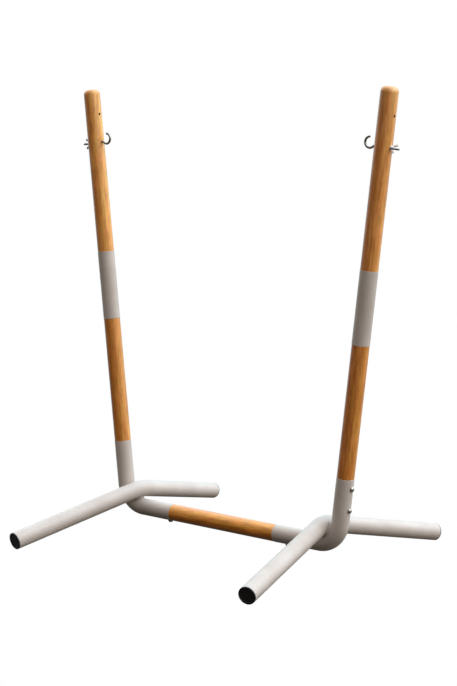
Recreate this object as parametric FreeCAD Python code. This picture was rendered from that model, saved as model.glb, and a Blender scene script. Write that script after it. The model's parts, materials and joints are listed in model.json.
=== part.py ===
"""Free-standing frame for a hanging cradle: two leaning masts, a low crossbar and two bent feet.

Millimetres, +Z up. The origin is on the floor, midway between the masts and the foot ends.
+X runs along the crossbar to the right mast, and -Y is the front.
"""
import FreeCAD, Part
import math
import os

V = FreeCAD.Vector
SIDES = {"left": -1, "right": 1}
ENDS = {"front": -1, "rear": 1}
UP = V(0, 0, 1)
DOWN = V(0, 0, -1)
ALONG = V(1, 0, 0)
REARWARD = V(0, 1, 0)
ORIGIN = V(0, 0, 0)

# Steel tube and wooden poles
TUBE_OD = 60.0
TUBE_WALL = 2.0
TUBE_RIM_ROUND = 0.8
POLE_STEP = 0.5
POLE_EDGE_CHAMFER = 0.6
POLE_TOP_ROUND = 17.0
TENON_CLEARANCE = 0.2
TENON_CHAMFER = 3.0

# Elbows and masts, measured from the corner where the axes of an elbow's two legs meet
CORNER_HALF_SPAN = 475.0
MAST_LEAN_DEG = 6.6
ELBOW_BEND_RADIUS = 85.0
ELBOW_RISE = 235.0
CROSS_LEG_LEFT = 222.0
CROSS_LEG_RIGHT = 258.0
TENON_TO_BEND = 34.0
LOWER_POLE_SHOW = 450.0
SLEEVE_LENGTH = 245.0
SLEEVE_TENON_GAP = 9.0
UPPER_POLE_SHOW = 585.0

# Feet, each one tube bent to a flat V that is coped over the inside of its elbow
FOOT_LEG_LENGTH = 552.0
FOOT_BEND_DEG = 32.0
FOOT_BEND_RADIUS = 130.0
FOOT_COPE_DEPTH = 4.0
COPE_CLEARANCE = 0.15

# Plastic caps in the ends of the feet
CAP_FLANGE = 4.0
CAP_EDGE_ROUND = 1.5
CAP_DISH_DEPTH = 0.8
CAP_DISH_MARGIN = 7.0
CAP_PLUG_LENGTH = 26.0
CAP_PLUG_WALL = 2.5
CAP_PLUG_GAP = 1.0
CAP_RIB_COUNT = 4
CAP_RIB_WIDTH = 2.0
CAP_RIB_CLEARANCE = 0.15

# Studs set in the wood, and the cap nuts on them: a domed head outside the tube, on a sleeve into the wood
STUD_D = 6.0
STUD_PAST_AXIS = 14.0
STUD_FIT = 0.1
STUD_CHAMFER = 0.6
POLE_STUD_FROM_RIM = 32.0
POLE_STUD_FROM_TIP = 19.0
CROSS_STUD_FROM_RIM = 14.0
NUT_HEAD_D = 18.0
NUT_HEAD_HEIGHT = 8.0
NUT_RIM_HEIGHT = 2.0
NUT_SLEEVE_WALL = 1.5
NUT_SLEEVE_LENGTH = 14.0
NUT_SLEEVE_CHAMFER = 0.6
NUT_SLEEVE_CLEARANCE = 0.25
NUT_SOCKET_FLATS = 5.0
NUT_SOCKET_DEPTH = 3.0
NUT_SOCKET_FLOOR = 1.5
HEX_SIDES = 6

# Hook bolts through the upper poles
HOOK_D = 8.0
HOOK_HOLE_CLEARANCE = 0.25
HOOK_DROP = 190.0
SPARE_HOLE_DROP = 90.0
HOOK_STANDOFF = 1.0
HOOK_NECK_RADIUS = 14.0
HOOK_EYE_RADIUS = 18.0
HOOK_EYE_LIFT = 9.0
HOOK_TIP_DEG = 88.0
HOOK_TIP_ROUND = 2.5
HOOK_TAIL = 31.0
HOOK_TAIL_CHAMFER = 1.0
WASHER_WIDTH = 3.75
WASHER_THICKNESS = 1.6
SPOT_FACE_MARGIN = 1.0

# Wing nuts on the hook bolts: a tapered hub and two ears, in reach from the bolt and height from the base
WING_FIT = 0.1
WING_HUB_WALL = 4.0
WING_HUB_TOP_WALL = 2.25
WING_HUB_HEIGHT = 9.0
WING_SPAN = 39.0
WING_HEIGHT = 20.0
WING_THICKNESS = 3.4
WING_EDGE_ROUND = 1.0
WING_ROOT_HEIGHT = 2.0
WING_TIP_ROUND = 4.5
WING_TURN_LEFT_DEG = 0.0
WING_TURN_RIGHT_DEG = -45.0

# Worked out from the sizes above
TUBE_R = TUBE_OD / 2
BORE_R = TUBE_R - TUBE_WALL
POLE_R = TUBE_R - POLE_STEP
TENON_R = BORE_R - TENON_CLEARANCE
STUD_R = STUD_D / 2
HOOK_R = HOOK_D / 2
HOOK_HOLE_R = HOOK_R + HOOK_HOLE_CLEARANCE
LEAN = math.radians(MAST_LEAN_DEG)
SQUARE = math.radians(90)
ELBOW_HALF_TURN = (SQUARE - LEAN) / 2
CROOK_RISE = (SQUARE + LEAN) / 2
FOOT_HALF_TURN = math.radians(FOOT_BEND_DEG) / 2
CROSS_LEG = {"left": CROSS_LEG_LEFT, "right": CROSS_LEG_RIGHT}
WING_TURN_DEG = {"left": WING_TURN_LEFT_DEG, "right": WING_TURN_RIGHT_DEG}
TENON_TIP = ELBOW_BEND_RADIUS * math.tan(ELBOW_HALF_TURN) + TENON_TO_BEND
CROSS_STUD = min(CROSS_LEG.values()) - CROSS_STUD_FROM_RIM
POLE_STUDS = [ELBOW_RISE - POLE_STUD_FROM_RIM, TENON_TIP + POLE_STUD_FROM_TIP]
SLEEVE_START = ELBOW_RISE + LOWER_POLE_SHOW
SLEEVE_END = SLEEVE_START + SLEEVE_LENGTH
SLEEVE_TENON = (SLEEVE_LENGTH - SLEEVE_TENON_GAP) / 2
MAST_TOP = SLEEVE_END + UPPER_POLE_SHOW
NUT_SLEEVE_R = STUD_R + NUT_SLEEVE_WALL
NUT_HOLE_R = NUT_SLEEVE_R + NUT_SLEEVE_CLEARANCE
NUT_BORE_TOP = NUT_HEAD_HEIGHT - NUT_SOCKET_DEPTH - NUT_SOCKET_FLOOR
WASHER_R = HOOK_HOLE_R + WASHER_WIDTH
SPOT_FACE_R = WASHER_R + SPOT_FACE_MARGIN
WASHER_SEAT = math.sqrt(POLE_R ** 2 - SPOT_FACE_R ** 2)
WING_SEAT = WASHER_SEAT + WASHER_THICKNESS


def bend_setback(radius, half_turn):
    """Distance from the corner of a bent tube's two legs to its rounded axis."""
    return radius * (1 / math.cos(half_turn) - 1)


# The foot's bend lies on the line that halves the elbow's inner angle, and the rims of its caps on the floor
FOOT_APEX_FROM_CORNER = (bend_setback(ELBOW_BEND_RADIUS, ELBOW_HALF_TURN) + TUBE_OD - FOOT_COPE_DEPTH
                         + bend_setback(FOOT_BEND_RADIUS, FOOT_HALF_TURN))
FOOT_SLOPE = math.asin(math.sin(FOOT_HALF_TURN) * math.sin(CROOK_RISE))
CAP_ROUND_START = FOOT_LEG_LENGTH + CAP_FLANGE - CAP_EDGE_ROUND
FOOT_APEX_HEIGHT = (CAP_ROUND_START * math.sin(FOOT_SLOPE)
                    + (TUBE_R - CAP_EDGE_ROUND) * math.cos(FOOT_SLOPE) + CAP_EDGE_ROUND)
CORNER_HEIGHT = FOOT_APEX_HEIGHT - FOOT_APEX_FROM_CORNER * math.sin(CROOK_RISE)


def corner(side):
    """Where the axes of an elbow's two legs meet."""
    return V(side * CORNER_HALF_SPAN, 0, CORNER_HEIGHT)


def mast_axis(side):
    return V(side * math.sin(LEAN), 0, math.cos(LEAN))


def inward(side):
    """Square to the mast, towards the other mast."""
    return V(-side * math.cos(LEAN), 0, math.sin(LEAN))


def on_mast(side, along):
    return corner(side) + mast_axis(side) * along


def on_cross(side, along):
    return corner(side) - ALONG * side * along


def crook_line(side):
    """Halves the inner angle of the elbow."""
    return V(-side * math.cos(CROOK_RISE), 0, math.sin(CROOK_RISE))


def foot_apex(side):
    return corner(side) + crook_line(side) * FOOT_APEX_FROM_CORNER


def foot_direction(side, end):
    """Axis of one leg of a foot, from the bend out to its tip."""
    return REARWARD * end * math.cos(FOOT_HALF_TURN) - crook_line(side) * math.sin(FOOT_HALF_TURN)


def rod(start, direction, length, radius):
    return Part.makeCylinder(radius, length, start, direction)


def ring(start, direction, length, outer, inner):
    return rod(start, direction, length, outer).cut(rod(start, direction, length, inner))


def revolved(outline):
    """Solid of revolution about Z from an outline of (radius, height) pairs."""
    points = [V(r, 0, z) for r, z in outline]
    face = Part.Face(Part.makePolygon(points + points[:1]))
    return face.revolve(ORIGIN, UP, 360)


def placed(shape, origin, axis, across):
    """Copy of a shape with its Z laid along axis and its X along across."""
    turn = FreeCAD.Rotation(across, axis.cross(across), axis, "ZXY")
    copy = shape.copy()
    copy.Placement = FreeCAD.Placement(origin, turn)
    return copy


def rims(shape, centre, radius):
    """Round edges of a shape about a point."""
    return [e for e in shape.Edges if e.Closed and (e.CenterOfMass - centre).Length < radius / 2]


def bent_path(start, bend, finish, radius):
    """Straight, arc, straight: one wire round the corner at bend."""
    to_bend = (bend - start).normalize()
    from_bend = (finish - bend).normalize()
    half_turn = to_bend.getAngle(from_bend) / 2
    reach = radius * math.tan(half_turn)
    inside = (from_bend - to_bend).normalize()
    arc_start = bend - to_bend * reach
    arc_middle = bend + inside * bend_setback(radius, half_turn)
    arc_end = bend + from_bend * reach
    edges = [Part.LineSegment(start, arc_start).toShape(),
             Part.Arc(arc_start, arc_middle, arc_end).toShape(),
             Part.LineSegment(arc_end, finish).toShape()]
    return Part.Wire(edges)


def swept(path, start, direction, radius):
    profile = Part.Wire([Part.Circle(start, direction, radius).toShape()])
    return path.makePipeShell([profile], True, False)


def bent_rod(start, bend, finish, bend_radius, radius):
    path = bent_path(start, bend, finish, bend_radius)
    return swept(path, start, bend - start, radius)


def bent_tube(start, bend, finish, bend_radius):
    outside = bent_rod(start, bend, finish, bend_radius, TUBE_R)
    return outside.cut(bent_rod(start, bend, finish, bend_radius, BORE_R))


def rim_rounded(tube, *ends):
    """Tube with the outer edge of its open ends rounded."""
    between = math.pi * (TUBE_R + BORE_R)
    edges = [e for end in ends for e in rims(tube, end, TUBE_R) if e.Length > between]
    return tube.makeFillet(TUBE_RIM_ROUND, edges)


def elbow_axis(name):
    """Crossbar end, corner and mast end of an elbow's axis."""
    side = SIDES[name]
    return on_cross(side, CROSS_LEG[name]), corner(side), on_mast(side, ELBOW_RISE)


def elbow_tube(name):
    """Bent tube between crossbar and mast, with holes for the cap nuts."""
    side = SIDES[name]
    cross_end, bend, mast_end = elbow_axis(name)
    tube = rim_rounded(bent_tube(cross_end, bend, mast_end, ELBOW_BEND_RADIUS), cross_end, mast_end)
    for along in POLE_STUDS:
        tube = tube.cut(rod(on_mast(side, along), -inward(side), TUBE_OD, NUT_HOLE_R))
    return tube.cut(rod(on_cross(side, CROSS_STUD), DOWN, TUBE_OD, NUT_HOLE_R))


def foot_tube(name):
    """V-bent tube, cut out where it straddles the inside of the elbow's bend."""
    side = SIDES[name]
    apex = foot_apex(side)
    front_tip = apex + foot_direction(side, ENDS["front"]) * FOOT_LEG_LENGTH
    rear_tip = apex + foot_direction(side, ENDS["rear"]) * FOOT_LEG_LENGTH
    tube = bent_tube(front_tip, apex, rear_tip, FOOT_BEND_RADIUS)
    return tube.cut(bent_rod(*elbow_axis(name), ELBOW_BEND_RADIUS, TUBE_R + COPE_CLEARANCE))


def foot_cap():
    """Flanged plug along +Z: the dished flange is outside the tube, the ribbed shank inside, below zero."""
    flange = Part.makeCylinder(TUBE_R, CAP_FLANGE)
    flange = flange.makeFillet(CAP_EDGE_ROUND, rims(flange, UP * CAP_FLANGE, CAP_FLANGE))
    dish_r = TUBE_R - CAP_DISH_MARGIN
    dish_floor = UP * (CAP_FLANGE - CAP_DISH_DEPTH)
    dish = Part.makeCone(dish_r - CAP_DISH_DEPTH, dish_r, CAP_DISH_DEPTH, dish_floor)
    shank_r = BORE_R - CAP_PLUG_GAP
    shank = ring(ORIGIN, DOWN, CAP_PLUG_LENGTH, shank_r, shank_r - CAP_PLUG_WALL)
    cap = flange.cut(dish).fuse(shank)
    rib_root = shank_r - CAP_PLUG_WALL / 2
    rib_r = BORE_R - CAP_RIB_CLEARANCE
    for i in range(CAP_RIB_COUNT):
        top = -CAP_PLUG_LENGTH * (i + 1) / (CAP_RIB_COUNT + 1)
        low = top - CAP_RIB_WIDTH
        cap = cap.fuse(revolved([(rib_root, low), (shank_r, low), (rib_r, top), (rib_root, top)]))
    return cap.removeSplitter()


def tenon(start, direction, length):
    """Turned end of a pole, chamfered at its tip."""
    straight = length - TENON_CHAMFER
    tip_start = start + direction * straight
    tip = Part.makeCone(TENON_R, TENON_R - TENON_CHAMFER, TENON_CHAMFER, tip_start, direction)
    return rod(start, direction, straight, TENON_R).fuse(tip)


def shouldered_rod(start, finish):
    """Full round of a pole, with the edges of both shoulders broken."""
    body = rod(start, finish - start, (finish - start).Length, POLE_R)
    shoulders = rims(body, start, POLE_R) + rims(body, finish, POLE_R)
    return body.makeChamfer(POLE_EDGE_CHAMFER, shoulders)


def drill_stud(pole, place, direction):
    """Hole for a cap nut's sleeve, and a narrower one for its stud to past the pole's axis."""
    outside = place + direction * TUBE_R
    wide = rod(outside, -direction, NUT_SLEEVE_LENGTH + NUT_SLEEVE_CLEARANCE, NUT_HOLE_R)
    narrow = rod(outside, -direction, TUBE_R + STUD_PAST_AXIS + STUD_CHAMFER, STUD_R + STUD_FIT)
    return pole.cut([wide, narrow])


def lower_pole(side):
    axis = mast_axis(side)
    foot_shoulder = on_mast(side, ELBOW_RISE)
    sleeve_shoulder = on_mast(side, SLEEVE_START)
    pole = shouldered_rod(foot_shoulder, sleeve_shoulder)
    pole = pole.fuse(tenon(foot_shoulder, -axis, ELBOW_RISE - TENON_TIP))
    pole = pole.fuse(tenon(sleeve_shoulder, axis, SLEEVE_TENON))
    for along in POLE_STUDS:
        pole = drill_stud(pole, on_mast(side, along), -inward(side))
    return pole.removeSplitter()


def upper_pole(side):
    """Pole with a rounded top, the hook's hole with its spot face, and a spare hole above."""
    axis = mast_axis(side)
    shoulder = on_mast(side, SLEEVE_END)
    top = on_mast(side, MAST_TOP)
    body = rod(shoulder, axis, UPPER_POLE_SHOW, POLE_R)
    body = body.makeFillet(POLE_TOP_ROUND, rims(body, top, POLE_R))
    body = body.makeChamfer(POLE_EDGE_CHAMFER, rims(body, shoulder, POLE_R))
    pole = body.fuse(tenon(shoulder, -axis, SLEEVE_TENON))
    for drop in (HOOK_DROP, SPARE_HOLE_DROP):
        outside = on_mast(side, MAST_TOP - drop) - inward(side) * TUBE_OD
        pole = pole.cut(rod(outside, inward(side), TUBE_OD * 2, HOOK_HOLE_R))
    seat = on_mast(side, MAST_TOP - HOOK_DROP) - inward(side) * WASHER_SEAT
    return pole.cut(rod(seat, -inward(side), TUBE_R, SPOT_FACE_R)).removeSplitter()


def crossbar():
    left_shoulder = on_cross(SIDES["left"], CROSS_LEG_LEFT)
    right_shoulder = on_cross(SIDES["right"], CROSS_LEG_RIGHT)
    bar = shouldered_rod(left_shoulder, right_shoulder)
    bar = bar.fuse(tenon(left_shoulder, -ALONG, CROSS_LEG_LEFT - TENON_TIP))
    bar = bar.fuse(tenon(right_shoulder, ALONG, CROSS_LEG_RIGHT - TENON_TIP))
    for side in SIDES.values():
        bar = drill_stud(bar, on_cross(side, CROSS_STUD), DOWN)
    return bar.removeSplitter()


def mast_sleeve(side):
    low = on_mast(side, SLEEVE_START)
    tube = ring(low, mast_axis(side), SLEEVE_LENGTH, TUBE_R, BORE_R)
    return rim_rounded(tube, low, on_mast(side, SLEEVE_END))


def stud(place, direction):
    """Headless stud, from past the pole's axis to the head of its cap nut."""
    start = place - direction * STUD_PAST_AXIS
    finish = place + direction * (TUBE_R + NUT_BORE_TOP - STUD_CHAMFER)
    pin = rod(start, direction, (finish - start).Length, STUD_R)
    return pin.makeChamfer(STUD_CHAMFER, rims(pin, start, STUD_R) + rims(pin, finish, STUD_R))


def hexagon(flats, height):
    corner_r = flats / math.sqrt(3)
    step = math.radians(360 / HEX_SIDES)
    angles = [step * i for i in range(HEX_SIDES + 1)]
    points = [V(math.cos(a), math.sin(a), 0) * corner_r for a in angles]
    return Part.Face(Part.makePolygon(points)).extrude(UP * height)


def cap_nut():
    """Domed head with a hexagon socket, its base at zero, on a sleeve with a blind hole for the stud."""
    head_r = NUT_HEAD_D / 2
    dome_height = NUT_HEAD_HEIGHT - NUT_RIM_HEIGHT
    dome_r = (head_r ** 2 + dome_height ** 2) / (dome_height * 2)
    ball = Part.makeSphere(dome_r, UP * (NUT_HEAD_HEIGHT - dome_r))
    head = Part.makeCylinder(head_r, NUT_HEAD_HEIGHT).common(ball)
    sleeve_end = DOWN * NUT_SLEEVE_LENGTH
    sleeve = Part.makeCylinder(NUT_SLEEVE_R, NUT_SLEEVE_LENGTH, sleeve_end)
    sleeve = sleeve.makeChamfer(NUT_SLEEVE_CHAMFER, rims(sleeve, sleeve_end, NUT_SLEEVE_R))
    bore = Part.makeCylinder(STUD_R + STUD_FIT, NUT_SLEEVE_LENGTH + NUT_BORE_TOP, sleeve_end)
    socket = hexagon(NUT_SOCKET_FLATS, NUT_SOCKET_DEPTH)
    socket.translate(UP * (NUT_HEAD_HEIGHT - NUT_SOCKET_DEPTH))
    return head.fuse(sleeve).cut([bore, socket]).removeSplitter()


def nut_on_tube(place, direction):
    return placed(cap_nut(), place + direction * TUBE_R, direction, REARWARD)


def hook_bolt():
    """Open hook: X along the bolt to the hook's side, Z up the pole, the origin on the pole's axis."""
    bend_start = POLE_R + HOOK_STANDOFF
    reach = HOOK_NECK_RADIUS + HOOK_EYE_RADIUS
    dip = math.acos((HOOK_EYE_LIFT + HOOK_NECK_RADIUS) / reach)
    neck = V(bend_start, 0, -HOOK_NECK_RADIUS)
    eye = V(bend_start + reach * math.sin(dip), 0, HOOK_EYE_LIFT)

    def on_neck(angle):
        return neck + V(math.sin(angle), 0, math.cos(angle)) * HOOK_NECK_RADIUS

    def on_eye(angle):
        return eye + V(math.cos(angle), 0, math.sin(angle)) * HOOK_EYE_RADIUS

    first = -SQUARE - dip
    last = math.radians(HOOK_TIP_DEG)
    middle = (first + last) / 2
    tail = V(-POLE_R - HOOK_TAIL, 0, 0)
    edges = [Part.LineSegment(tail, on_neck(0)).toShape(),
             Part.Arc(on_neck(0), on_neck(dip / 2), on_neck(dip)).toShape(),
             Part.Arc(on_eye(first), on_eye((first + middle) / 2), on_eye(middle)).toShape(),
             Part.Arc(on_eye(middle), on_eye((middle + last) / 2), on_eye(last)).toShape()]
    bolt = swept(Part.Wire(edges), tail, ALONG, HOOK_R)
    bolt = bolt.makeFillet(HOOK_TIP_ROUND, rims(bolt, on_eye(last), HOOK_R))
    return bolt.makeChamfer(HOOK_TAIL_CHAMFER, rims(bolt, tail, HOOK_R))


def wing_ear(hub_r, hub_top_r):
    """One ear of the wing nut: from the hub's foot out to a round tip and back to the hub's top."""
    half = WING_SPAN / 2
    tip_centre = V(half - WING_TIP_ROUND, 0, WING_HEIGHT - WING_TIP_ROUND)
    outer = tip_centre + ALONG * WING_TIP_ROUND
    crest = tip_centre + (ALONG + UP).normalize() * WING_TIP_ROUND
    inner = tip_centre - ALONG * WING_TIP_ROUND
    root_low = V(HOOK_R, 0, WING_ROOT_HEIGHT)
    foot = V(hub_r, 0, WING_ROOT_HEIGHT)
    root_high = V(HOOK_R, 0, WING_HUB_HEIGHT)
    shoulder = V(hub_top_r, 0, WING_HUB_HEIGHT)
    edges = [Part.LineSegment(root_low, foot).toShape(),
             Part.LineSegment(foot, outer).toShape(),
             Part.Arc(outer, crest, inner).toShape(),
             Part.LineSegment(inner, shoulder).toShape(),
             Part.LineSegment(shoulder, root_high).toShape(),
             Part.LineSegment(root_high, root_low).toShape()]
    ear = Part.Face(Part.Wire(edges)).extrude(REARWARD * WING_THICKNESS)
    ear.translate(REARWARD * -WING_THICKNESS / 2)
    outline = [e for e in ear.Edges if abs(e.CenterOfMass.y) > WING_EDGE_ROUND and e.CenterOfMass.x > hub_r]
    return ear.makeFillet(WING_EDGE_ROUND, outline)


def wing_nut():
    """Tapered hub with two ears, base at zero, along +Z."""
    hub_r = HOOK_R + WING_HUB_WALL
    hub_top_r = HOOK_R + WING_HUB_TOP_WALL
    hub = Part.makeCone(hub_r, hub_top_r, WING_HUB_HEIGHT)
    ear = wing_ear(hub_r, hub_top_r)
    opposite = ear.mirror(ORIGIN, ALONG)
    hole = Part.makeCylinder(HOOK_R + WING_FIT, WING_HEIGHT)
    return hub.fuse([ear, opposite]).cut(hole).removeSplitter()


def hook_pieces(name):
    """Hook bolt, washer and wing nut of one mast."""
    side = SIDES[name]
    centre = on_mast(side, MAST_TOP - HOOK_DROP)
    axis = mast_axis(side)
    out = -inward(side)
    ears = FreeCAD.Rotation(out, WING_TURN_DEG[name]).multVec(axis)
    return {
        f"hook_bolt_{name}": placed(hook_bolt(), centre, axis, inward(side)),
        f"hook_washer_{name}": ring(centre + out * WASHER_SEAT, out, WASHER_THICKNESS, WASHER_R, HOOK_HOLE_R),
        f"wing_nut_{name}": placed(wing_nut(), centre + out * WING_SEAT, out, ears),
    }


def foot_pieces(name):
    """Foot tube of one mast and the caps in its two ends."""
    side = SIDES[name]
    pieces = {f"foot_tube_{name}": foot_tube(name)}
    for end_name, end in ENDS.items():
        direction = foot_direction(side, end)
        tip = foot_apex(side) + direction * FOOT_LEG_LENGTH
        across = direction.cross(crook_line(side)).normalize()
        pieces[f"foot_cap_{end_name}_{name}"] = placed(foot_cap(), tip, direction, across)
    return pieces


def stud_pieces(name):
    """Studs and cap nuts of one elbow."""
    side = SIDES[name]
    out = -inward(side)
    places = [on_mast(side, along) for along in POLE_STUDS]
    cross = on_cross(side, CROSS_STUD)
    return {
        f"pole_studs_{name}": Part.makeCompound([stud(p, out) for p in places]),
        f"pole_cap_nuts_{name}": Part.makeCompound([nut_on_tube(p, out) for p in places]),
        f"crossbar_stud_{name}": stud(cross, DOWN),
        f"crossbar_cap_nut_{name}": nut_on_tube(cross, DOWN),
    }


def all_pieces():
    pieces = {"crossbar": crossbar()}
    for name, side in SIDES.items():
        pieces[f"elbow_tube_{name}"] = elbow_tube(name)
        pieces[f"lower_pole_{name}"] = lower_pole(side)
        pieces[f"mast_sleeve_{name}"] = mast_sleeve(side)
        pieces[f"upper_pole_{name}"] = upper_pole(side)
        pieces.update(foot_pieces(name))
        pieces.update(stud_pieces(name))
        pieces.update(hook_pieces(name))
    return pieces


os.makedirs("parts", exist_ok=True)
for node, shape in all_pieces().items():
    shape.exportStep(f"parts/{node}.step")
    print(f"{node}: {len(shape.Solids)} solid(s), {shape.Volume / 1000:.2f} cm3, valid {shape.isValid()}")
print(f"corner height {CORNER_HEIGHT:.4f}, foot bend {FOOT_APEX_FROM_CORNER:.4f} from the corner")
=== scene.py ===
"""Looks of a stand for a hanging cradle: varnished poles, powder coated tube, moulded caps, plated steel.

Metres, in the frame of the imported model: +Z up, +X to the right mast, -Y to the front.
"""
import json
import math
from collections import namedtuple

import bpy
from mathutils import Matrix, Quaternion, Vector


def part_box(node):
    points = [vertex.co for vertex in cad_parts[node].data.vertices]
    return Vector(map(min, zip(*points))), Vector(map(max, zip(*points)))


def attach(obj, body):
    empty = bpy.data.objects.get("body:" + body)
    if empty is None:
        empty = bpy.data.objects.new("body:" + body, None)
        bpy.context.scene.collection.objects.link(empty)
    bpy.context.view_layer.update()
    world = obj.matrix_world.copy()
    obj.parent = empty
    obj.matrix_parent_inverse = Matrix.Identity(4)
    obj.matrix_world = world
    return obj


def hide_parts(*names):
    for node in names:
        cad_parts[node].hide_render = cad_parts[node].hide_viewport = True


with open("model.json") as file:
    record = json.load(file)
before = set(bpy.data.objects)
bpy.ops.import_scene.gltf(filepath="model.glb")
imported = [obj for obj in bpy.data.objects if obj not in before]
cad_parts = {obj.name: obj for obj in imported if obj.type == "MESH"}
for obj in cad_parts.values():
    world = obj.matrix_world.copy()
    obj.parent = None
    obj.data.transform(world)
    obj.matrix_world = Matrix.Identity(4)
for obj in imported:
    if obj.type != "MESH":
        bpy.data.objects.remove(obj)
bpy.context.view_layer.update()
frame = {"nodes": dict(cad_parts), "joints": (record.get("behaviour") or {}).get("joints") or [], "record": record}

SIDES = {"left": -1, "right": 1}
MM = 0.001
ALONG = Vector((1, 0, 0))
REARWARD = Vector((0, 1, 0))
UP = Vector((0, 0, 1))

# Camera at the photograph's place: degrees, metres, and a lens for a 36 mm sensor along the tall side
VIEW_AZIMUTH = 39.49
VIEW_ELEVATION = 8.64
VIEW_ROLL = 0.29
VIEW_DISTANCE = 5.728
VIEW_AIM = Vector((0, 0, 0.6))
LENS_MM = 86.84
SENSOR_MM = 36
SHIFT_Y = 0.0478
CLIP_END = 300

# Directions on the floor as the camera sees them
IMAGE_RIGHT = Vector((math.cos(math.radians(VIEW_AZIMUTH)), math.sin(math.radians(VIEW_AZIMUTH)), 0))
TO_CAMERA = Vector((IMAGE_RIGHT.y, -IMAGE_RIGHT.x, 0))

# Tube work that the weld beads follow
TUBE_R = 30 * MM
ELBOW_BEND_R = 85 * MM
FOOT_BEND_R = 130 * MM
FOOT_COPE = 4 * MM
BEAD_OFFSET = 2.4 * MM
BEAD_R = 3.1 * MM
BEAD_RIPPLE = 0.22 * MM
BEAD_RIPPLES = 44
BEAD_STEPS_PER_RIPPLE = 8
BEAD_SIDES = 16

# Search for the seam: a first place out from the crook and up, a small step for the slopes, and its rounds
SEAM_OUT = 21 * MM
SEAM_RISE = 3 * MM
SEAM_NUDGE = 0.01 * MM
SEAM_ROUNDS = 20

# Hook bolts: M8 wire, a drop below the top of the mast, measured from the mast's axis along the bolt
HOOK_R = 4 * MM
HOOK_DROP = 190 * MM
HOOK_TAIL = 60.5 * MM
HOOK_BEND_START = 30.5 * MM
HOOK_NECK_R = 14 * MM
HOOK_EYE_R = 18 * MM
HOOK_EYE_LIFT = 9 * MM
HOOK_TIP = math.radians(88)
HOOK_TIP_ROUND = 2.5 * MM
HOOK_SIDES = 28
HOOK_NECK_STEPS = 16
HOOK_EYE_STEPS = 90
THREAD_LENGTH = 33 * MM
THREAD_PITCH = 1.25 * MM
THREAD_DEPTH = 0.7 * MM
THREAD_CHAMFER = 1.0 * MM
THREAD_FLANK = 1.25
THREAD_STEPS_PER_TURN = 10


def joint(name):
    """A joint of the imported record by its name."""
    return next(j for j in frame["joints"] if j["name"] == name)


def mast_axis(side_name):
    """A point on a mast's axis and the way up along it."""
    turn = joint(f"mast_turn_{side_name}")
    return Vector(turn["pos_m"]), Vector(turn["axis"])


# Mesh building

def ring_mesh(name, rings, closed=False):
    """Smooth mesh skinned over rings of equally many points, closed to a loop or capped at both ends."""
    count = len(rings[0])
    verts = [point for ring in rings for point in ring]
    faces = []
    for i in range(len(rings) if closed else len(rings) - 1):
        low = i * count
        high = (i + 1) % len(rings) * count
        for k in range(count):
            following = (k + 1) % count
            faces.append((low + k, low + following, high + following, high + k))
    if not closed:
        faces.append(tuple(reversed(range(count))))
        faces.append(tuple(range(len(verts) - count, len(verts))))
    mesh = bpy.data.meshes.new(name)
    mesh.from_pydata(verts, [], faces)
    mesh.shade_smooth()
    made = bpy.data.objects.new(name, mesh)
    bpy.context.scene.collection.objects.link(made)
    return made


def around(centre, across, upward, radii):
    """Ring of points round a centre, one radius for each."""
    step = 2 * math.pi / len(radii)
    ring = []
    for k, radius in enumerate(radii):
        ring.append(centre + (across * math.cos(step * k) + upward * math.sin(step * k)) * radius)
    return ring


# Weld beads between the feet and the elbows

def torus_distance(point, centre, normal, bend_r):
    """Distance from a point to the skin of a tube bent round a centre."""
    rise = (point - centre).dot(normal)
    reach = (point - centre - normal * rise).length - bend_r
    return math.hypot(reach, rise) - TUBE_R


def crook(side_name):
    """Corner of the elbow's axes, the line that halves its inner angle, and half of that angle."""
    point, up_mast = mast_axis(side_name)
    low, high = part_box("crossbar")
    corner = point - up_mast * ((point.z - (low.z + high.z) / 2) / up_mast.z)
    along_bar = Vector((-SIDES[side_name], 0, 0))
    return corner, (up_mast + along_bar).normalized(), along_bar.angle(up_mast) / 2


def seam_point(start, outward, line, elbow, foot):
    """Place at the bead's offset from both tubes, found by Newton's method out from the start and up."""
    def misses(out, rise):
        point = start + outward * out + line * rise
        return torus_distance(point, *elbow) - BEAD_OFFSET, torus_distance(point, *foot) - BEAD_OFFSET

    out = SEAM_OUT
    rise = SEAM_RISE
    for _ in range(SEAM_ROUNDS):
        elbow_miss, foot_miss = misses(out, rise)
        elbow_further, foot_further = misses(out + SEAM_NUDGE, rise)
        elbow_higher, foot_higher = misses(out, rise + SEAM_NUDGE)
        elbow_by_out = (elbow_further - elbow_miss) / SEAM_NUDGE
        elbow_by_rise = (elbow_higher - elbow_miss) / SEAM_NUDGE
        foot_by_out = (foot_further - foot_miss) / SEAM_NUDGE
        foot_by_rise = (foot_higher - foot_miss) / SEAM_NUDGE
        determinant = elbow_by_out * foot_by_rise - elbow_by_rise * foot_by_out
        out -= (foot_by_rise * elbow_miss - elbow_by_rise * foot_miss) / determinant
        rise -= (elbow_by_out * foot_miss - foot_by_out * elbow_miss) / determinant
    return start + outward * out + line * rise


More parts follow.
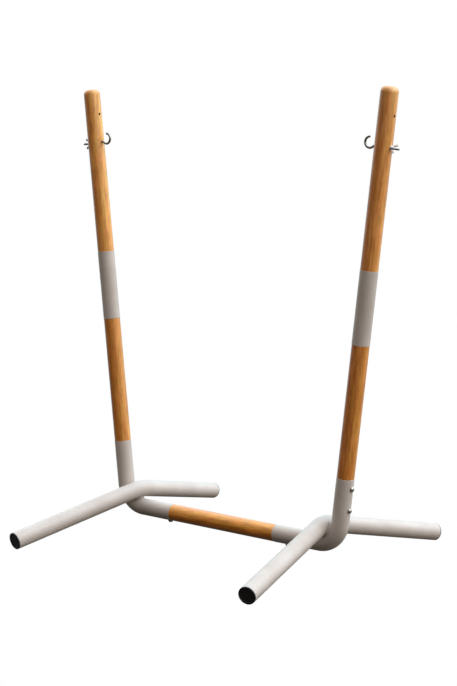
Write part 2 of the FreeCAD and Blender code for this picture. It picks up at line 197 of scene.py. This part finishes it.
def weld_bead(side_name, coat):
    """Rippled bead all round the seam where the foot is coped over the elbow."""
    corner, line, half_angle = crook(side_name)
    along = line.cross(REARWARD)
    to_centre = ELBOW_BEND_R / math.sin(half_angle)
    seat = corner + line * (to_centre - ELBOW_BEND_R + TUBE_R)
    foot_axis_top = corner + line * (to_centre - ELBOW_BEND_R + TUBE_R * 2 - FOOT_COPE)
    elbow = (corner + line * to_centre, REARWARD, ELBOW_BEND_R)
    foot = (foot_axis_top - line * FOOT_BEND_R, along, FOOT_BEND_R)
    steps = BEAD_RIPPLES * BEAD_STEPS_PER_RIPPLE
    seam = []
    for i in range(steps):
        turn = 2 * math.pi * i / steps
        outward = along * math.cos(turn) + REARWARD * math.sin(turn)
        seam.append(seam_point(seat, outward, line, elbow, foot))
    rings = []
    for i, point in enumerate(seam):
        forward = (seam[(i + 1) % steps] - seam[i - 1]).normalized()
        across = forward.cross(line).normalized()
        ripple = abs(math.sin(math.pi * BEAD_RIPPLES * i / steps))
        radius = BEAD_R - BEAD_RIPPLE * (1 - ripple)
        rings.append(around(point, across, forward.cross(across), [radius] * BEAD_SIDES))
    bead = ring_mesh(f"weld_bead_{side_name}", rings, closed=True)
    bead.data.materials.append(coat)
    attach(bead, "base")


# Hook bolts with a cut thread

def thread_radius(from_end, turn):
    """Radius of the threaded tail at a distance from its end and a part of a turn round it."""
    phase = (from_end / THREAD_PITCH + turn) % 1
    ridge = THREAD_FLANK * (1 - abs(2 * phase - 1)) - (THREAD_FLANK - 1) / 2
    cut = HOOK_R - THREAD_DEPTH * (1 - min(max(ridge, 0), 1))
    return min(cut, HOOK_R - THREAD_CHAMFER + from_end)


def hook_stations():
    """Places along a hook in its own plane: how far out and up, the heading there, and the ring's radii."""
    plain = [HOOK_R] * HOOK_SIDES
    stations = []

    # Threaded tail, then the plain shank
    steps = round(THREAD_LENGTH / THREAD_PITCH * THREAD_STEPS_PER_TURN)
    for i in range(steps + 1):
        from_end = THREAD_LENGTH * i / steps
        radii = [thread_radius(from_end, k / HOOK_SIDES) for k in range(HOOK_SIDES)]
        stations.append((from_end - HOOK_TAIL, 0, 0, radii))
    stations.append((THREAD_LENGTH + THREAD_DEPTH - HOOK_TAIL, 0, 0, plain))

    # Neck that bends down to the start of the eye
    reach = HOOK_NECK_R + HOOK_EYE_R
    dip = math.acos((HOOK_EYE_LIFT + HOOK_NECK_R) / reach)
    for i in range(HOOK_NECK_STEPS + 1):
        angle = dip * i / HOOK_NECK_STEPS
        out = HOOK_BEND_START + HOOK_NECK_R * math.sin(angle)
        stations.append((out, HOOK_NECK_R * (math.cos(angle) - 1), -angle, plain))

    # Eye, open at its rounded tip
    eye = HOOK_BEND_START + reach * math.sin(dip)
    first = -math.pi / 2 - dip
    arc = (HOOK_TIP - first) * HOOK_EYE_R
    for i in range(1, HOOK_EYE_STEPS + 1):
        angle = first + (HOOK_TIP - first) * i / HOOK_EYE_STEPS
        into_round = max(HOOK_TIP_ROUND - arc * (1 - i / HOOK_EYE_STEPS), 0)
        radius = HOOK_R - HOOK_TIP_ROUND + math.sqrt(HOOK_TIP_ROUND ** 2 - into_round ** 2)
        out = eye + HOOK_EYE_R * math.cos(angle)
        rise = HOOK_EYE_LIFT + HOOK_EYE_R * math.sin(angle)
        stations.append((out, rise, angle + math.pi / 2, [radius] * HOOK_SIDES))
    return stations


def hook_bolt(side_name, steel):
    """Open hook on a threaded shank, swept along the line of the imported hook."""
    turn = joint(f"hook_turn_{side_name}")
    centre = Vector(turn["pos_m"])
    inward = -Vector(turn["axis"])
    _, up_mast = mast_axis(side_name)
    side = up_mast.cross(inward)
    rings = []
    for out, rise, heading, radii in hook_stations():
        place = centre + inward * out + up_mast * rise
        normal = up_mast * math.cos(heading) - inward * math.sin(heading)
        rings.append(around(place, normal, side, radii))
    hook = ring_mesh(f"hook_bolt_threaded_{side_name}", rings)
    hook.data.materials.append(steel)
    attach(hook, f"hook_{side_name}")
    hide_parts(f"hook_bolt_{side_name}")


# Shader building

# Sockets of the Mix node for colours, and the Noise node's colour output and the middle of its values
MIX_FACTOR = 0
MIX_FIRST = 6
MIX_SECOND = 7
MIX_RESULT = 2
NOISE_COLOUR = 1
NOISE_MIDDLE = 0.5

# A layer of noise: its scale per metre, another scale along the third axis where it has one, its detail, a
# shift that sets it apart from others, the values between which it comes in, and the share that it then has
Layer = namedtuple("Layer", "scale along detail shift low high share", defaults=(None, 2, None, 0, 1, 1))


def new_material(name):
    """Empty material with a Principled shader: returns the material, its tree and the shader."""
    material = bpy.data.materials.new(name)
    material.use_nodes = True
    tree = material.node_tree
    return material, tree, tree.nodes["Principled BSDF"]


def node(tree, kind, inputs=None, **settings):
    """New node; settings are its properties, and inputs are values or sockets by name or number."""
    made = tree.nodes.new(kind)
    for name, value in settings.items():
        setattr(made, name, value)
    for socket, value in (inputs or {}).items():
        if isinstance(value, bpy.types.NodeSocket):
            tree.links.new(value, made.inputs[socket])
        else:
            made.inputs[socket].default_value = value
    return made


def calc(tree, operation, *operands):
    return node(tree, "ShaderNodeMath", dict(enumerate(operands)), operation=operation).outputs[0]


def share(tree, value, part):
    return calc(tree, "MULTIPLY", value, part)


def spread(tree, value, low, high, to_low=0.0, to_high=1.0):
    """Value from low to high taken smoothly to the range to_low to to_high."""
    inputs = {"Value": value, "From Min": low, "From Max": high, "To Min": to_low, "To Max": to_high}
    return node(tree, "ShaderNodeMapRange", inputs, interpolation_type="SMOOTHSTEP").outputs[0]


def mixed(tree, factor, first, second, blend="MIX"):
    """Colour between two colours, each a socket or a colour."""
    inputs = {MIX_FACTOR: factor, MIX_FIRST: first, MIX_SECOND: second}
    return node(tree, "ShaderNodeMix", inputs, data_type="RGBA", blend_type=blend).outputs[MIX_RESULT]


def tinted(tree, tone, tint):
    return mixed(tree, 1.0, tone, tint, "MULTIPLY")


def scaled(tree, vector, factors):
    return node(tree, "ShaderNodeVectorMath", {0: vector, 1: factors}, operation="MULTIPLY").outputs[0]


def offset(tree, vector, by):
    return node(tree, "ShaderNodeVectorMath", {0: vector, 1: by}, operation="ADD").outputs[0]


def crossed(tree, vector, direction):
    inputs = {0: vector, 1: direction}
    return node(tree, "ShaderNodeVectorMath", inputs, operation="CROSS_PRODUCT").outputs[0]


def dot(tree, vector, direction):
    inputs = {0: vector, 1: direction}
    return node(tree, "ShaderNodeVectorMath", inputs, operation="DOT_PRODUCT").outputs["Value"]


def length(tree, vector):
    return node(tree, "ShaderNodeVectorMath", {0: vector}, operation="LENGTH").outputs["Value"]


def noise(tree, vector, layer, output=0):
    """Noise of a layer, as a value or as a colour."""
    scale = layer.scale
    if layer.along:
        vector = scaled(tree, vector, (scale, scale, layer.along))
        scale = 1.0
    if layer.shift:
        vector = offset(tree, vector, layer.shift)
    inputs = {"Vector": vector, "Scale": scale, "Detail": layer.detail}
    return node(tree, "ShaderNodeTexNoise", inputs).outputs[output]


def patches(tree, value, layer):
    """Where the noise of a layer comes in, from 0 to 1."""
    return spread(tree, value, layer.low, layer.high)


def colour(red, green, blue):
    return (red, green, blue, 1.0)


def object_coords(tree):
    return node(tree, "ShaderNodeTexCoord").outputs["Object"]


def bump(tree, shader, height, distance, strength):
    made = node(tree, "ShaderNodeBump", {"Height": height, "Distance": distance, "Strength": strength})
    tree.links.new(made.outputs[0], shader.inputs["Normal"])


# Wood: growth rings round a pith outside the pole, with streaks, flecks, fibres and pores along it

HONEY = colour(0.74, 0.405, 0.125)
AMBER = colour(0.59, 0.270, 0.064)
RUSSET = colour(0.42, 0.160, 0.034)
UMBER = colour(0.20, 0.075, 0.018)
END_GRAIN = colour(0.50, 0.235, 0.066)
# Painted shade inside the drilled bores
PAINTED_BORE_SHADE = colour(0.15, 0.048, 0.012)

# Pairs that multiply the tone: hue, brightness, and painted light on the two sides of a pole, yellower and
# brighter on its lit side, redder and darker on its shaded side
OLIVE = colour(0.97, 1.04, 0.90)
ROSE = colour(1.03, 0.95, 0.99)
DULL = colour(0.88, 0.86, 0.84)
BRIGHT = colour(1.09, 1.10, 1.11)
# Painted light: tints for the shaded and the lit side of a pole
SHADED_SIDE_PAINT_TINT = colour(0.88, 0.82, 0.90)
LIT_SIDE_PAINT_TINT = colour(1.05, 1.21, 1.05)

# Grain, from its slow drift to the pores
DRIFT = Layer(scale=9, along=1.3)
GRAIN_WANDER = 14 * MM
UNEVEN = Layer(scale=60, along=1.5)
STREAK = Layer(scale=75, along=7.5, detail=3, low=0.30, high=0.66)
WARM = Layer(scale=120, along=9, low=0.48, high=0.72, share=0.5)
HUE = Layer(scale=95, along=12, shift=(3.1, 5.7, 1.9), low=0.36, high=0.64)
MOTTLE = Layer(scale=170, along=24, shift=(1.3, 8.1, 6.2), low=0.34, high=0.66)
DARK_LINE = Layer(scale=210, along=8, shift=(7.3, 2.2, 4.8), low=0.58, high=0.72, share=0.34)
FLECK = Layer(scale=430, along=36, low=0.60, high=0.72, share=0.42)
FIBRE = Layer(scale=900, along=14, detail=3, low=0.45, high=0.75, share=0.20)
PORES = Layer(scale=1900, along=70, detail=1, low=0.66, high=0.74, share=0.45)

# Growth rings: their unevenness in rings, and where in a ring the late wood darkens and ends
RING_SPACING = 5.5 * MM
RING_SLOPE = 0.012
RING_UNEVENNESS = 1.6
LATE_DARKENS = (0.25, 0.86)
LATE_ENDS = (1.0, 0.93)
LATE_SHARE = 0.26

# Knots: rings of two tones, stretched along the grain
KNOT_HEART = 2.0 * MM
KNOT_CORE = 3.2 * MM
KNOT_EDGE = 7.0 * MM
KNOT_RAGGED = 1.5 * MM
KNOT_SQUEEZE = 0.7
KNOT_EDGE_SHARE = 0.55
KNOT_HEART_SHARE = 0.7
KNOT_LIFT = 10 * MM
KNOT_RIGHTWARD = 0.45
KNOTS = {"left": [(KNOT_LIFT, (TO_CAMERA + IMAGE_RIGHT * KNOT_RIGHTWARD).normalized())], "right": []}

# End grain, by how squarely the surface faces along the pole, and painted shade in the bores and round their rims
END_FACING = (0.15, 0.80)
END_SHARE = 0.65
HOLE_R = 4.25 * MM
BORE_SHADE_FADE = 0.35 * MM

# Varnish
WOOD_ROUGHNESS = (0.36, 0.48)
FIBRE_SPAN = (0.2, 0.8)
PORE_ROUGHNESS = 0.1
END_ROUGHNESS = 0.15
VARNISH_WEIGHT = 0.45
VARNISH_ROUGHNESS = 0.22
VARNISH_SHEEN = 0.10
SHEEN_ROUGHNESS = 0.25
FIBRE_RELIEF = 0.5
WOOD_BUMP = 0.06 * MM
WOOD_BUMP_STRENGTH = 0.5

# Each pole: how far its pith lies off its axis, the stretch of the grain that it is cut from, and its tint
Pole = namedtuple("Pole", "pith cut tint")
CROSSBAR = Pole(pith=(55 * MM, 30 * MM), cut=1.7, tint=colour(0.99, 0.73, 0.36))
LOWER_POLES = {
    "left": Pole(pith=(50 * MM, -45 * MM), cut=4.1, tint=colour(0.92, 0.71, 0.45)),
    "right": Pole(pith=(50 * MM, -45 * MM), cut=7.4, tint=colour(0.91, 0.69, 0.48)),
}
UPPER_POLES = {
    "left": Pole(pith=(-60 * MM, -30 * MM), cut=11.9, tint=colour(1.10, 0.96, 0.78)),
    "right": Pole(pith=(-60 * MM, -30 * MM), cut=14.6, tint=colour(0.99, 0.78, 0.72)),
}

# Painted light on the poles: the lit side of the masts yellower and brighter, and the upper poles paler towards
# their tops
MAST_PAINTED_LIGHT_SIDE = IMAGE_RIGHT
PAINTED_TOP_LIGHT = {"left": colour(1.03, 1.11, 1.34), "right": colour(1.12, 1.36, 1.66)}
PAINTED_TOP_LIGHT_REACH = 260 * MM


def wandering_grain(tree, local):
    """Coordinates whose grain wanders slowly as it runs along the pole."""
    drift = noise(tree, local, DRIFT, NOISE_COLOUR)
    drift = offset(tree, drift, (-NOISE_MIDDLE, -NOISE_MIDDLE, -NOISE_MIDDLE))
    drift = scaled(tree, drift, (GRAIN_WANDER, GRAIN_WANDER, 0))
    return offset(tree, local, drift)


def late_wood(tree, grain, along, pith):
    """Growth rings round a pith, light at their start and darkening to a sharp late edge."""
    from_pith = scaled(tree, offset(tree, grain, (-pith[0], -pith[1], 0)), (1, 1, 0))
    reach = calc(tree, "MULTIPLY_ADD", along, RING_SLOPE, length(tree, from_pith))
    rings = calc(tree, "DIVIDE", reach, RING_SPACING)
    rings = calc(tree, "MULTIPLY_ADD", noise(tree, grain, UNEVEN), RING_UNEVENNESS, rings)
    phase = calc(tree, "FRACT", rings)
    return calc(tree, "MULTIPLY", spread(tree, phase, *LATE_DARKENS), spread(tree, phase, *LATE_ENDS))


def wood_tone(tree, grain, late, fibre, pores):
    """Streaks of lighter and redder wood, dark lines and flecks, fine fibres and pores."""
    tone = mixed(tree, patches(tree, noise(tree, grain, STREAK), STREAK), HONEY, AMBER)
    stains = (
        (patches(tree, noise(tree, grain, WARM), WARM), WARM.share, RUSSET),
        (late, LATE_SHARE, RUSSET),
        (patches(tree, noise(tree, grain, DARK_LINE), DARK_LINE), DARK_LINE.share, UMBER),
        (patches(tree, noise(tree, grain, FLECK), FLECK), FLECK.share, UMBER),
        (patches(tree, fibre, FIBRE), FIBRE.share, UMBER),
        (pores, PORES.share, UMBER),
    )
    for where, part, stain in stains:
        tone = mixed(tree, share(tree, where, part), tone, stain)
    for layer, first, second in ((HUE, OLIVE, ROSE), (MOTTLE, DULL, BRIGHT)):
        shift = mixed(tree, patches(tree, noise(tree, grain, layer), layer), first, second)
        tone = tinted(tree, tone, shift)
    return tone


def with_knot(tree, tone, from_knot, fibre):
    """Tone with a knot, ragged along the fibres, where the coordinates from its middle are small."""
    away = length(tree, scaled(tree, from_knot, (1, 1, KNOT_SQUEEZE)))
    away = calc(tree, "MULTIPLY_ADD", fibre, KNOT_RAGGED, away)
    edge = share(tree, spread(tree, away, KNOT_EDGE, KNOT_CORE), KNOT_EDGE_SHARE)
    heart = share(tree, spread(tree, away, KNOT_CORE, KNOT_HEART), KNOT_HEART_SHARE)
    return mixed(tree, heart, mixed(tree, edge, tone, RUSSET), UMBER)


def with_painted_bore_shade(tree, tone, place, point, direction):
    """Tone with painted shade in a bore and round its rim, about the line through a point."""
    away = length(tree, crossed(tree, offset(tree, place, -point), direction))
    return mixed(tree, spread(tree, away, HOLE_R + BORE_SHADE_FADE * 2, HOLE_R + BORE_SHADE_FADE), tone, PAINTED_BORE_SHADE)


def varnish(tree, shader, fibre, pores, end):
    """Satin varnish, rougher on pores and end grain, over the relief of the fibres."""
    rough = spread(tree, fibre, *FIBRE_SPAN, *WOOD_ROUGHNESS)
    rough = calc(tree, "MULTIPLY_ADD", pores, PORE_ROUGHNESS, rough)
    rough = calc(tree, "MULTIPLY_ADD", end, END_ROUGHNESS, rough)
    tree.links.new(rough, shader.inputs["Roughness"])
    shader.inputs["Coat Weight"].default_value = VARNISH_WEIGHT
    shader.inputs["Coat Roughness"].default_value = VARNISH_ROUGHNESS
    shader.inputs["Sheen Weight"].default_value = VARNISH_SHEEN
    shader.inputs["Sheen Roughness"].default_value = SHEEN_ROUGHNESS
    relief = calc(tree, "SUBTRACT", share(tree, fibre, FIBRE_RELIEF), pores)
    bump(tree, shader, relief, WOOD_BUMP, WOOD_BUMP_STRENGTH)


def wood(name, origin, axis, pole, painted_light_side, knots=(), holes=(), top=None, painted_top_tint=None):
    """Varnished wood of a pole, with its grain along an axis, and painted light that makes it yellower and
    brighter on the side facing the given lit side.

    Knots are points, holes are points and directions of drilled bores, which are painted dark as shade, and the
    last argument is the tint of painted light that makes the wood paler towards its top.
    """
    material, tree, shader = new_material(name)
    turn = axis.to_track_quat("Z", "Y")
    start = origin - axis * pole.cut
    coords = node(tree, "ShaderNodeTexCoord").outputs
    placing = {"Vector": coords["Object"], "Location": start, "Rotation": turn.to_euler()}
    local = node(tree, "ShaderNodeMapping", placing, vector_type="TEXTURE").outputs[0]
    along = node(tree, "ShaderNodeSeparateXYZ", {0: local}).outputs["Z"]
    grain = wandering_grain(tree, local)
    fibre = noise(tree, local, FIBRE)
    pores = patches(tree, noise(tree, local, PORES), PORES)
    end = spread(tree, calc(tree, "ABSOLUTE", dot(tree, coords["Normal"], axis)), *END_FACING)

    tone = wood_tone(tree, grain, late_wood(tree, grain, along, pole.pith), fibre, pores)
    for knot in knots:
        tone = with_knot(tree, tone, offset(tree, local, -(turn.inverted() @ (knot - start))), fibre)
    tone = mixed(tree, share(tree, end, END_SHARE), tone, END_GRAIN)
    tone = tinted(tree, tone, pole.tint)
    # Painted light: yellower and brighter on the side facing the lit side, redder and darker on the far side
    painted_light_share = spread(tree, dot(tree, coords["Normal"], painted_light_side), -1.0, 1.0)
    tone = tinted(tree, tone, mixed(tree, painted_light_share, SHADED_SIDE_PAINT_TINT, LIT_SIDE_PAINT_TINT))
    # Painted light: the wood turns paler towards the top
    if top:
        top_along = (top - start).dot(axis)
        painted_top_span = {"Value": along, "From Min": top_along - PAINTED_TOP_LIGHT_REACH, "From Max": top_along}
        painted_top_share = node(tree, "ShaderNodeMapRange", painted_top_span).outputs[0]
        tone = mixed(tree, painted_top_share, tone, painted_top_tint, "MULTIPLY")
    # Painted shade in the bores and round their rims
    for point, direction in holes:
        tone = with_painted_bore_shade(tree, tone, coords["Object"], point, direction)
    tree.links.new(tone, shader.inputs["Base Color"])
    varnish(tree, shader, fibre, pores, end)
    return material


# Powder coat: fine orange peel and a faint unevenness of tone

COAT_TONE = colour(0.464, 0.424, 0.384)
COAT_SHADE = colour(0.420, 0.379, 0.339)
CLOUD = Layer(scale=14, detail=3, low=0.3, high=0.75)
SPECK = Layer(scale=1400, detail=1, low=0.62, high=0.72, share=0.25)
PEEL = Layer(scale=420)
PEEL_SPECK = 0.2
CLOUD_SPAN = (0.2, 0.8)
COAT_ROUGHNESS = (0.40, 0.50)
COAT_BUMP = 0.06 * MM
COAT_BUMP_STRENGTH = 0.3


def powder_coat():
    """Coat of the steel tubes and of their welds."""
    material, tree, shader = new_material("powder_coat")
    place = object_coords(tree)
    cloud = noise(tree, place, CLOUD)
    speck = noise(tree, place, SPECK)
    tone = mixed(tree, patches(tree, cloud, CLOUD), COAT_TONE, COAT_SHADE)
    tone = mixed(tree, share(tree, patches(tree, speck, SPECK), SPECK.share), tone, COAT_SHADE)
    tree.links.new(tone, shader.inputs["Base Color"])
    tree.links.new(spread(tree, cloud, *CLOUD_SPAN, *COAT_ROUGHNESS), shader.inputs["Roughness"])
    peel = calc(tree, "ADD", noise(tree, place, PEEL), share(tree, speck, PEEL_SPECK))
    bump(tree, shader, peel, COAT_BUMP, COAT_BUMP_STRENGTH)
    return material


# Moulded plastic: black, fine grained and a little scuffed

PLASTIC_TONE = colour(0.010, 0.010, 0.011)
PLASTIC_SCUFFED = colour(0.022, 0.022, 0.022)
PLASTIC_GRAIN = Layer(scale=1600)
SCUFF = Layer(scale=60, along=240, detail=4, low=0.55, high=0.8)
SCUFF_SPAN = (0.3, 0.8)
PLASTIC_ROUGHNESS = (0.42, 0.58)
PLASTIC_BUMP = 0.05 * MM
PLASTIC_BUMP_STRENGTH = 0.4


def moulded_plastic():
    """Plastic of the caps in the ends of the feet."""
    material, tree, shader = new_material("moulded_plastic")
    place = object_coords(tree)
    scuff = noise(tree, place, SCUFF)
    tone = mixed(tree, patches(tree, scuff, SCUFF), PLASTIC_TONE, PLASTIC_SCUFFED)
    tree.links.new(tone, shader.inputs["Base Color"])
    tree.links.new(spread(tree, scuff, *SCUFF_SPAN, *PLASTIC_ROUGHNESS), shader.inputs["Roughness"])
    bump(tree, shader, noise(tree, place, PLASTIC_GRAIN), PLASTIC_BUMP, PLASTIC_BUMP_STRENGTH)
    return material


# Metals: dull plate for the hooks, zinc for washers and wing nuts, nickel for dome nuts and their studs

Plate = namedtuple("Plate", "bright dull roughness")
PLATES = {
    "dull_plate": Plate(bright=colour(0.36, 0.36, 0.35), dull=colour(0.24, 0.24, 0.235),
                        roughness=(0.26, 0.42)),
    "zinc_plate": Plate(bright=colour(0.80, 0.80, 0.79), dull=colour(0.66, 0.66, 0.65),
                        roughness=(0.36, 0.50)),
    "nickel_plate": Plate(bright=colour(0.40, 0.385, 0.365), dull=colour(0.34, 0.33, 0.31),
                          roughness=(0.40, 0.50)),
}
PLATE_MOTTLE = Layer(scale=260, detail=4, low=0.35, high=0.7)
PLATE_RUB = Layer(scale=45, detail=3, low=0.3, high=0.75)
PLATE_BUMP = 0.02 * MM
PLATE_BUMP_STRENGTH = 0.3


def plated_steel(name):
    """Metal between two tones and two roughnesses, mottled as plating is."""
    plate = PLATES[name]
    material, tree, shader = new_material(name)
    place = object_coords(tree)
    mottle = noise(tree, place, PLATE_MOTTLE)
    rub = noise(tree, place, PLATE_RUB)
    tone = mixed(tree, patches(tree, mottle, PLATE_MOTTLE), plate.bright, plate.dull)
    tree.links.new(tone, shader.inputs["Base Color"])
    rough = spread(tree, rub, PLATE_RUB.low, PLATE_RUB.high, *plate.roughness)
    tree.links.new(rough, shader.inputs["Roughness"])
    shader.inputs["Metallic"].default_value = 1.0
    bump(tree, shader, mottle, PLATE_BUMP, PLATE_BUMP_STRENGTH)
    return material


# Materials on the nodes, and the pieces that scene.py adds

def dress(name, material):
    """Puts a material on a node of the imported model."""
    for slot in frame["nodes"][name].material_slots:
        slot.material = material


def dress_poles():
    """Wood on the crossbar and the four poles, each with a grain of its own."""
    low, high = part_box("crossbar")
    # The crossbar's painted light makes its top yellower and brighter
    dress("crossbar", wood("wood_crossbar", (low + high) / 2, ALONG, CROSSBAR, UP))
    mounts = {m["name"]: m for m in frame["record"]["mounts"]}
    for name in SIDES:
        point, axis = mast_axis(name)
        # Lower poles, with painted light on their lit side
        lower = wood(f"wood_lower_{name}", point, axis, LOWER_POLES[name], MAST_PAINTED_LIGHT_SIDE)
        dress(f"lower_pole_{name}", lower)
        hook = joint(f"hook_turn_{name}")
        hook_at = Vector(hook["pos_m"])
        across = Vector(hook["axis"])
        knots = [hook_at + axis * lift + facing * TUBE_R for lift, facing in KNOTS[name]]
        holes = [(hook_at, across), (Vector(mounts[f"spare_hook_hole_{name}"]["pos_m"]), across)]
        # Upper poles, paler towards the top with painted light, and with painted shade in their bores
        upper = wood(f"wood_upper_{name}", point, axis, UPPER_POLES[name], MAST_PAINTED_LIGHT_SIDE,
                     knots, holes, hook_at + axis * HOOK_DROP, PAINTED_TOP_LIGHT[name])
        dress(f"upper_pole_{name}", upper)


def dress_all():
    """Every node in its material, with the weld beads and the threaded hooks."""
    dress_poles()
    coat = powder_coat()
    plastic = moulded_plastic()
    dark = plated_steel("dull_plate")
    zinc = plated_steel("zinc_plate")
    nickel = plated_steel("nickel_plate")
    for name in SIDES:
        for tube in ("elbow_tube", "mast_sleeve", "foot_tube"):
            dress(f"{tube}_{name}", coat)
        for end in ("front", "rear"):
            dress(f"foot_cap_{end}_{name}", plastic)
        for piece in ("hook_washer", "wing_nut"):
            dress(f"{piece}_{name}", zinc)
        for piece in ("pole_cap_nuts", "crossbar_cap_nut", "pole_studs", "crossbar_stud"):
            dress(f"{piece}_{name}", nickel)
        dress(f"hook_bolt_{name}", dark)
        weld_bead(name, coat)
        hook_bolt(name, dark)


# Camera, light and floor

def add_camera():
    """Camera at the photograph's place, which looks at the aim and is rolled a little."""
    azimuth = math.radians(VIEW_AZIMUTH)
    elevation = math.radians(VIEW_ELEVATION)
    back = Vector((math.sin(azimuth) * math.cos(elevation), -math.cos(azimuth) * math.cos(elevation),
                   math.sin(elevation)))
    camera = bpy.data.objects.new("camera", bpy.data.cameras.new("camera"))
    bpy.context.scene.collection.objects.link(camera)
    camera.location = VIEW_AIM + back * VIEW_DISTANCE
    camera.rotation_mode = "QUATERNION"
    roll = Quaternion(UP, math.radians(VIEW_ROLL))
    camera.rotation_quaternion = back.to_track_quat("Z", "Y") @ roll
    camera.data.sensor_width = SENSOR_MM
    camera.data.lens = LENS_MM
    camera.data.shift_y = SHIFT_Y
    camera.data.clip_end = CLIP_END
    bpy.context.scene.camera = camera


# Soft panels round the part: degrees from the camera's side to the right of the picture, degrees up, light
PANELS = {
    "ceiling": (110, 55, colour(1.80, 2.66, 3.38)),
    "right": (110, 25, colour(2.16, 1.91, 1.79)),
    "front_right": (45, 40, colour(2.25, 1.99, 1.73)),
    "overhead": (0, 70, colour(0.73, 0.65, 0.82)),
    "rear": (195, 20, colour(0.38, 1.07, 1.47)),
    "rear_left": (225, 40, colour(2.50, 2.12, 1.68)),
    "below": (0, -90, colour(0.29, 0.25, 0.20)),
}
PANEL_FALLOFF = 5.0

# One softbox nearer to the part, placed in the same way: metres, watts
BOX_AZIMUTH = 30
BOX_ELEVATION = 35
BOX_AIM = Vector((0, 0, 0.8))
BOX_DISTANCE = 2.8
BOX_SIZE = 1.2
BOX_POWER = 7.3
BOX_COLOUR = (1.0, 0.98, 0.82)

# White ball round everything, and a floor in it: metres, and two depths for the floor's faces
BLACK = colour(0, 0, 0)
WHITE = colour(1, 1, 1)
SURROUND_R = 40.0
SURROUND_RINGS = 25
SURROUND_SIDES = 48
FLOOR_R = 36.0
FLOOR_DEPTHS = (20 * MM, 0.5 * MM)


def studio_direction(azimuth, elevation):
    """Way to a place round the part, from the camera's side towards the right of the picture, and up."""
    a = math.radians(azimuth)
    e = math.radians(elevation)
    return (TO_CAMERA * math.cos(a) + IMAGE_RIGHT * math.sin(a)) * math.cos(e) + UP * math.sin(e)


def add_softbox():
    """Square lamp near the part, which the camera doesn't see."""
    box = bpy.data.objects.new("softbox", bpy.data.lights.new("softbox", "AREA"))
    bpy.context.scene.collection.objects.link(box)
    box.data.size = BOX_SIZE
    box.data.energy = BOX_POWER
    box.data.color = BOX_COLOUR
    back = studio_direction(BOX_AZIMUTH, BOX_ELEVATION)
    box.location = BOX_AIM + back * BOX_DISTANCE
    box.rotation_mode = "QUATERNION"
    box.rotation_quaternion = back.to_track_quat("Z", "Y")
    box.visible_camera = False


def add_panels():
    """Far panels round the room, each fading smoothly away from its middle."""
    world = bpy.data.worlds.new("panels")
    bpy.context.scene.world = world
    world.use_nodes = True
    tree = world.node_tree
    direction = node(tree, "ShaderNodeTexCoord").outputs["Generated"]
    total = BLACK
    for azimuth, elevation, light in PANELS.values():
        facing = calc(tree, "MAXIMUM", dot(tree, direction, studio_direction(azimuth, elevation)), 0.0)
        total = mixed(tree, calc(tree, "POWER", facing, PANEL_FALLOFF), total, light, "ADD")
    tree.links.new(total, tree.nodes["Background"].inputs["Color"])


def white_stage(piece, white):
    """Marks a white piece round the part, seen by the camera alone, so that it lights nothing."""
    piece.data.materials.append(white)
    piece.visible_diffuse = False
    piece.visible_glossy = False
    piece.visible_transmission = False
    piece.visible_shadow = False


def level_ring(height, radius):
    """Ring of points round the middle of the room."""
    return around(UP * height, ALONG, REARWARD, [radius] * SURROUND_SIDES)


def add_surround():
    """Pale floor, and a ball of the same white round everything."""
    white, _, shader = new_material("surround_white")
    shader.inputs["Base Color"].default_value = BLACK
    shader.inputs["Specular IOR Level"].default_value = 0.0
    shader.inputs["Emission Color"].default_value = WHITE
    shader.inputs["Emission Strength"].default_value = 1.0
    rings = []
    for i in range(SURROUND_RINGS):
        tilt = math.pi * (i + 1 / 2) / SURROUND_RINGS
        rings.append(level_ring(-SURROUND_R * math.cos(tilt), SURROUND_R * math.sin(tilt)))
    white_stage(ring_mesh("surround", rings), white)
    floor = [level_ring(-depth, FLOOR_R) for depth in FLOOR_DEPTHS]
    white_stage(ring_mesh("floor", floor), white)


dress_all()
add_camera()
add_panels()
add_softbox()
add_surround()
bpy.context.scene.view_settings.view_transform = "Standard"
